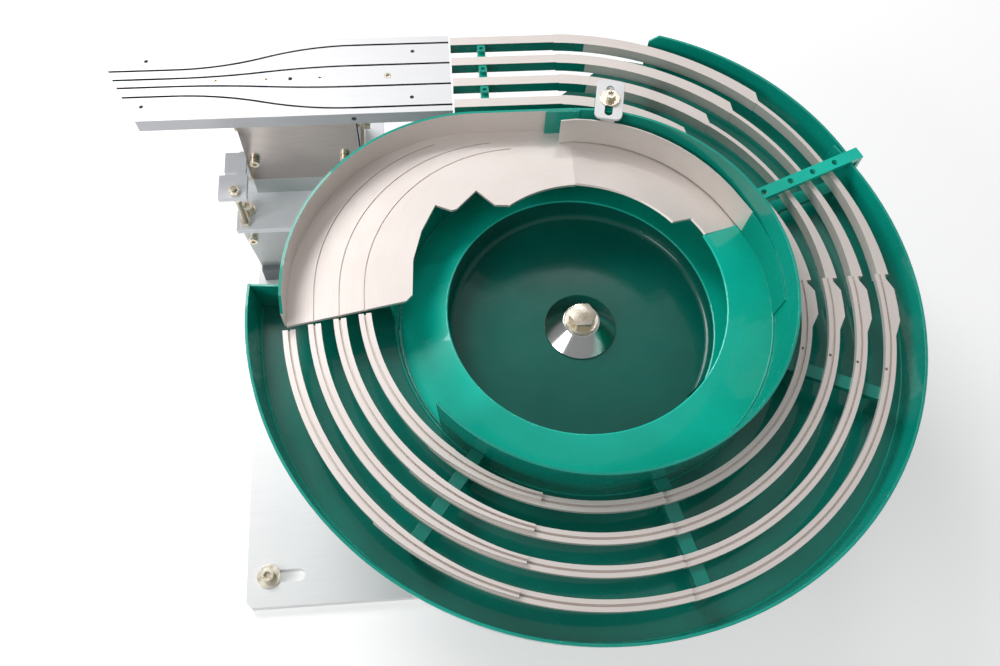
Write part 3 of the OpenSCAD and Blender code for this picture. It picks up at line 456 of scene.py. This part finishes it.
magnet = {
    "plateDark": colour(0.045, 0.045, 0.05),
    "plateLight": colour(0.10, 0.09, 0.08),
    "plateHalfPitch": 0.00035,
    "plateCloud": 60.0,
    "plateMetallic": 0.4,
    "plateRoughness": (0.2, 0.35),
    "plateBump": (0.6, 0.0003),
    "wireDark": colour(0.30, 0.085, 0.025),
    "wireLight": colour(0.50, 0.17, 0.05),
    "wireHalfPitch": 0.0006,
    "wireCloud": 80.0,
    "wireRoughness": (0.2, 0.2),
    "wireVarnish": 0.4,
    "wireBump": (0.8, 0.0006),
}


def lamination():
    finish = Finish("varnishedLaminations")
    plates = finish.split(finish.place())[1].zigzag(magnet["plateHalfPitch"])
    cloud = finish.noise(finish.place(), magnet["plateCloud"])
    change, low = magnet["plateRoughness"]
    return finish.principled({
        "Base Color": finish.blendColours(cloud, magnet["plateDark"], magnet["plateLight"]),
        "Metallic": magnet["plateMetallic"],
        "Roughness": cloud * change + low,
        "Normal": finish.bump(plates, *magnet["plateBump"]),
    })


def windings():
    finish = Finish("varnishedWinding")
    turns = finish.split(finish.place())[2].zigzag(magnet["wireHalfPitch"])
    cloud = finish.noise(finish.place(), magnet["wireCloud"])
    change, low = magnet["wireRoughness"]
    return finish.principled({
        "Base Color": finish.blendColours(cloud, magnet["wireDark"], magnet["wireLight"]),
        "Roughness": cloud * change + low,
        "Coat Weight": magnet["wireVarnish"],
        "Normal": finish.bump(turns, *magnet["wireBump"]),
    })


spring = {
    "dark": colour(0.10, 0.105, 0.12),
    "light": colour(0.22, 0.22, 0.23),
    "grain": (0.004, 0.004, 0.2),
    "grainScale": 6.0,
    "grainRoughness": 0.2,
    "roughness": 0.28,
    "bump": (0.1, 0.0003),
}


def springSteel():
    finish = Finish("bluedSpring")
    grain = finish.noise(finish.place(scale=spring["grain"]), spring["grainScale"])
    return finish.principled({
        "Base Color": finish.blendColours(grain, spring["dark"], spring["light"]),
        "Metallic": 1.0,
        "Roughness": grain * spring["grainRoughness"] + spring["roughness"],
        "Normal": finish.bump(grain, *spring["bump"]),
    })


edges = {
    "bevel": 0.0004,
    "fine": 0.00012,
    "segments": 2,
    "sharp": 32,
    "weld": 0.000004,
    "flat": 0.3,
    "cornerSegments": 6,
    "cornerTurn": 80,
    "upright": 0.00001,
}


def softenEdges(piece, width, rimFinish):
    sharp = math.radians(edges["sharp"])
    piece.data.shade_smooth()
    piece.data.set_sharp_from_angle(angle=sharp)
    if width:
        soft = piece.modifiers.new("edges", "BEVEL")
        soft.width = width
        soft.segments = edges["segments"]
        soft.limit_method = "ANGLE"
        soft.angle_limit = sharp
        soft.harden_normals = True
        soft.use_clamp_overlap = True
        soft.material = rimFinish


def roundCorners(work, radius, thickness):
    # only the short upright edges at a plate's outer corners
    corners = [edge for edge in work.edges
               if edge.calc_length() < thickness * 1.1
               and (edge.verts[0].co - edge.verts[1].co).xy.length < edges["upright"]
               and len(edge.link_faces) == 2
               and edge.calc_face_angle() > math.radians(edges["cornerTurn"])]
    bmesh.ops.bevel(work, geom=corners, offset=radius, segments=edges["cornerSegments"],
                    affect="EDGES", profile=0.5, material=-1)


def dress(node, finishes, width=edges["bevel"], merge=True, pick=None, corner=None, rimFinish=-1):
    # a merged copy of the node with softened edges stands for it
    mesh = frame["nodes"][node].data.copy()
    mesh.materials.clear()
    for finish in finishes:
        mesh.materials.append(finish)
    piece = bpy.data.objects.new(node + "Skin", mesh)
    bpy.context.collection.objects.link(piece)
    work = bmesh.new()
    work.from_mesh(mesh)
    bmesh.ops.remove_doubles(work, verts=work.verts, dist=edges["weld"])
    if merge:
        flat = math.radians(edges["flat"])
        bmesh.ops.dissolve_limit(work, angle_limit=flat, verts=work.verts, edges=work.edges)
    if corner:
        roundCorners(work, *corner)
    for face in work.faces:
        face.material_index = pick(face) if pick else 0
    work.to_mesh(mesh)
    work.free()
    if "custom_normal" in mesh.attributes:
        mesh.attributes.remove(mesh.attributes["custom_normal"])
    softenEdges(piece, width, rimFinish)
    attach(piece, bodyOfNode[node])
    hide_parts(node)


makeCamera()
for name, values in lamps.items():
    areaLamp(name, **values)

# Each stop is the sky's height, from 0 at the horizon to 1 overhead, and its colour
sky = {
    "soft": [(0.05, (0.28, 0.27, 0.27)), (0.62, (0.40, 0.39, 0.39)), (0.86, (0.62, 0.62, 0.64))],
    "softStrength": 0.70,
    "backdrop": [(0.15, (1.0, 1.0, 1.0)), (0.40, (0.24, 0.24, 0.24)), (0.90, (0.40, 0.40, 0.41))],
    "backdropStrength": 1.0,
}


def makeSky():
    finish = Finish("studioSky", world=True)
    bpy.context.scene.world = finish.material
    height = finish.split(finish.add("ShaderNodeTexCoord", out="Generated"))[2]

    def glow(stops, strength):
        steps = [(place, colour(*tone)) for place, tone in stops]
        tone = finish.add("ShaderNodeValToRGB", {"stops": steps}, {0: height})
        return finish.add("ShaderNodeBackground", {}, {"Color": tone, "Strength": strength})

    soft = glow(sky["soft"], sky["softStrength"])
    backdrop = glow(sky["backdrop"], sky["backdropStrength"])
    finish.close(finish.add("ShaderNodeMixShader", {}, {0: finish.seen(), 1: soft, 2: backdrop}))


ground = {
    "colour": colour(0.90, 0.90, 0.90),
    "glow": colour(1.0, 1.0, 1.0),
    "glowStrength": 0.34,
    "halfWidth": 6.0,
}


def makeFloor():
    finish = Finish("paleFloor")
    plain = finish.add("ShaderNodeBsdfDiffuse", {}, {"Color": ground["colour"]})
    glow = finish.add("ShaderNodeEmission", {},
                      {"Color": ground["glow"], "Strength": ground["glowStrength"]})
    both = finish.add("ShaderNodeAddShader", {}, {0: plain, 1: glow})
    finish.close(finish.add("ShaderNodeMixShader", {}, {0: finish.seen(), 1: plain, 2: both}))
    work = bmesh.new()
    bmesh.ops.create_grid(work, x_segments=1, y_segments=1, size=ground["halfWidth"])
    mesh = bpy.data.meshes.new("floor")
    work.to_mesh(mesh)
    work.free()
    mesh.materials.append(finish.material)
    floor = bpy.data.objects.new("floor", mesh)
    bpy.context.collection.objects.link(floor)


makeSky()
makeFloor()
print("stage set")

enamel = enamelPaint("tealEnamel")
brightEnamel = enamelPaint("brightEnamel")
wornEnamel = enamelPaint("wornEnamel")
basinEnamel = enamelPaint("basinEnamel")
steelAround = brushedSheet("sheetRoundTheBowl", "light", metallic=0.30, low=0.40, roundBowl=True)
steelFlat = brushedSheet("sheetAlongTheTrack", "mirror", metallic=1.0, low=0.16, roundBowl=False)
threaded = threadedRod()
zinc = zincPlate()
chrome = polishedChrome()
plateSilver = milledPlate("milledBase")
trackSilver = milledPlate("groundTrack")
paleDeck = milledPlate("milledDeck")
greyMilled = milledPlate("milledStand")
sideShade = milledPlate("sideShadeSteel")
grooveShade = milledPlate("grooveShadeSteel")
casting = castIron()
laminated = lamination()
wound = windings()
blued = springSteel()
print("finishes mixed")

finishOf = {
    # the darker enamel copies on the basin, the pan floor and the supports are painted shade; the
    # brighter one on the track and the cross bar is painted light
    "basin_floor": basinEnamel, "basin_wall": basinEnamel,
    "spiral_track": brightEnamel, "bowl_wall": enamel, "wall_lap": enamel,
    "pan_floor": wornEnamel, "pan_wall": enamel, "pan_wall_exit": enamel, "pan_end_panel": enamel,
    "cross_bar": brightEnamel, "lower_bar": enamel, "floor_supports": wornEnamel,
    "clamp_lug": enamel, "lane_spacers": enamel,
    "plate_ramp": steelAround, "sorting_plate": steelAround,
    "lane_entry": steelAround, "lane_middle": steelAround, "lane_outer": steelAround,
    "front_cover": steelFlat, "back_cover": steelFlat,
    "base_plate": plateSilver, "stand_top_plate": paleDeck, "level_arm": paleDeck,
    "stand_column": greyMilled, "linear_base_block": greyMilled,
    "drive_base": casting, "top_frame": casting,
    "linear_top_mass": casting, "stand_foot": casting,
    "magnet_core": laminated, "armature": laminated,
    "linear_core": laminated, "linear_armature": laminated,
    "magnet_coil": wound, "linear_coil": wound,
    "linear_springs": blued, "leaf_springs": blued,
    "centre_cone": chrome, "base_washers": zinc,
    "base_screws": zinc, "drive_base_screws": zinc, "lower_spring_screws": zinc,
    "upper_spring_screws": zinc, "stand_screws": zinc, "cover_screws": zinc,
    "lower_linear_bolts": zinc, "upper_linear_bolts": zinc,
    "level_rod": threaded, "level_nuts": zinc,
    "centre_washer": zinc, "centre_bolt": zinc, "clamp_screw": zinc, "clamp_washer": zinc,
}
fineNodes = ("lane_entry", "lane_middle", "lane_outer", "sorting_plate")
for node, finish in finishOf.items():
    dress(node, [finish], edges["fine"] if node in fineNodes else edges["bevel"])

# Where one node carries two or three finishes, in metres and degrees
divide = {
    "wallCentre": (-0.09, 0.002),
    "wallOutward": 0.5,
    "wallRim": 0.7,
    "stripPaintedTo": 23,
    "trackSkin": 0.0005,
    "grooveDepth": 0.0065,
    "cornersBelow": 0.011,
    "sideSlack": 0.0006,
    "exitPaintedTo": 0.03,
    "steep": 0.5,
    "plateCorner": (0.006, 0.0025),
    "screwRim": 0.0008,
}


def wallSide(face):
    # the side wall's outer skin and rim are painted, its inner skin is bare
    middle = face.calc_center_median()
    centreX, centreY = divide["wallCentre"]
    out = Vector((0.0, 1.0, 0.0))
    if middle.x < centreX:
        out = Vector((middle.x - centreX, max(0.0, middle.y - centreY), 0.0)).normalized()
    painted = face.normal.dot(out) > divide["wallOutward"] or face.normal.z > divide["wallRim"]
    return 1 if painted else 0


def stripSide(face):
    # the strip is painted where it lies on the wall and bare from there on
    middle = face.calc_center_median()
    return 1 if math.degrees(math.atan2(middle.y, middle.x)) < divide["stripPaintedTo"] else 0


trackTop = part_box("track_plate")[1][2]
trackCorners = [vert.co.copy() for vert in frame["nodes"]["track_plate"].data.vertices
                if vert.co.z < trackTop - divide["cornersBelow"]]


def trackSide(face):
    # grooves and bores are painted dark, painted shade in their hollows, and the sides are painted
    # darker than the ground top, painted shade on faces turned from the light
    depth = max(trackTop - vert.co.z for vert in face.verts)
    if depth < divide["trackSkin"]:
        return 0
    here = face.calc_center_median()
    steep = abs(face.normal.z) < divide["steep"]
    if steep and all((corner - here).dot(face.normal) < divide["sideSlack"] for corner in trackCorners):
        return 2
    return 1 if depth < divide["grooveDepth"] else 2


def exitSide(face):
    # beside the track the lanes are painted under their bare top
    straight = face.calc_center_median().x < divide["exitPaintedTo"]
    return 1 if straight and abs(face.normal.z) < divide["steep"] else 0


dress("clamp_plate", [trackSilver], corner=divide["plateCorner"])
dress("plate_wall", [steelAround, enamel], pick=wallSide)
dress("baffle", [steelAround, enamel], pick=stripSide)
dress("track_plate", [trackSilver, grooveShade, sideShade], width=0.0, merge=False, pick=trackSide)
# the lanes' painted sides take the darker enamel copy: real paint with painted shade on faces turned
# from the light
dress("lane_exit", [steelAround, wornEnamel], pick=exitSide)
# the screws' sunk rims are painted dark, painted shade in the gap round each head, in the same finish
# as the grooves
dress("track_screws", [zinc, grooveShade], width=divide["screwRim"], rimFinish=1)
print("nodes dressed")

# Filled and painted seams where the sheets meet, in metres and degrees
seam = {
    "bead": 0.0012,
    "beadResolution": 2,
    "step": 3.0,
    "panFoot": 0.2925,
    "panTurn": (176.0, 390.0),
    "panZ": 0.2203,
    "bowlFoot": 0.1727,
    "bowlTurn": (176.0, 477.0),
    "exitTurn": (27.0, 72.0),
    "exitCentre": (0.01929, 0.04078),
    "exitFoot": 0.26177,
    "trackTurn": (-39.0, 385.0),
    "trackRise": 0.050,
    "trackLow": 0.202,
    "trackZero": -9.0,
    "edgeDrop": (0.004, 0.012),
    "edgeDropTurn": (-40.0, 190.0),
    "coneRadius": 0.175,
    "coneTop": 0.293,
    "coneLean": 0.07,
}


def beadAlong(name, points):
    line = bpy.data.curves.new(name, "CURVE")
    line.dimensions = "3D"
    line.bevel_depth = seam["bead"]
    line.bevel_resolution = seam["beadResolution"]
    line.use_fill_caps = True
    spline = line.splines.new("POLY")
    spline.points.add(len(points) - 1)
    for knot, point in zip(spline.points, points):
        knot.co = (*point, 1.0)
    holder = bpy.data.objects.new(name + "Line", line)
    bpy.context.collection.objects.link(holder)
    bpy.context.view_layer.update()
    ready = holder.evaluated_get(bpy.context.evaluated_depsgraph_get())
    mesh = bpy.data.meshes.new_from_object(ready)
    bpy.data.objects.remove(holder)
    mesh.name = name
    mesh.materials.clear()
    mesh.materials.append(enamel)
    mesh.shade_smooth()
    piece = bpy.data.objects.new(name, mesh)
    bpy.context.collection.objects.link(piece)
    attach(piece, "bowl")


def onCircle(radius, turn, centre=(0.0, 0.0)):
    count = max(2, int((turn[1] - turn[0]) / seam["step"]))
    angles = [math.radians(turn[0] + (turn[1] - turn[0]) * k / count) for k in range(count + 1)]
    return [(centre[0] + radius * math.cos(a), centre[1] + radius * math.sin(a), seam["panZ"])
            for a in angles]


def trackSeam():
    # the spiral's outer edge falls behind its inner edge over the first half turn
    points = []
    first, last = seam["trackTurn"]
    dropFrom, dropOver = seam["edgeDropTurn"]
    leastDrop, moreDrop = seam["edgeDrop"]
    count = int((last - first) / seam["step"])
    for k in range(count + 1):
        angle = first + (last - first) * k / count
        drop = leastDrop + moreDrop * min(1.0, max(0.0, (angle - dropFrom) / dropOver))
        z = seam["trackLow"] + seam["trackRise"] * (angle - seam["trackZero"]) / 360.0 - drop
        wall = seam["coneRadius"] - seam["coneLean"] * (seam["coneTop"] - z)
        radius = wall - seam["bead"] * 0.5
        turn = math.radians(angle)
        points.append((radius * math.cos(turn), radius * math.sin(turn), z + seam["bead"] * 0.3))
    return points


beadAlong("panSeam", onCircle(seam["panFoot"], seam["panTurn"]))
beadAlong("exitSeam", onCircle(seam["exitFoot"], seam["exitTurn"], seam["exitCentre"]))
beadAlong("bowlSeam", onCircle(seam["bowlFoot"], seam["bowlTurn"]))
beadAlong("trackSeam", trackSeam())
print("seams laid")

bpy.context.scene.view_settings.view_transform = "Standard"
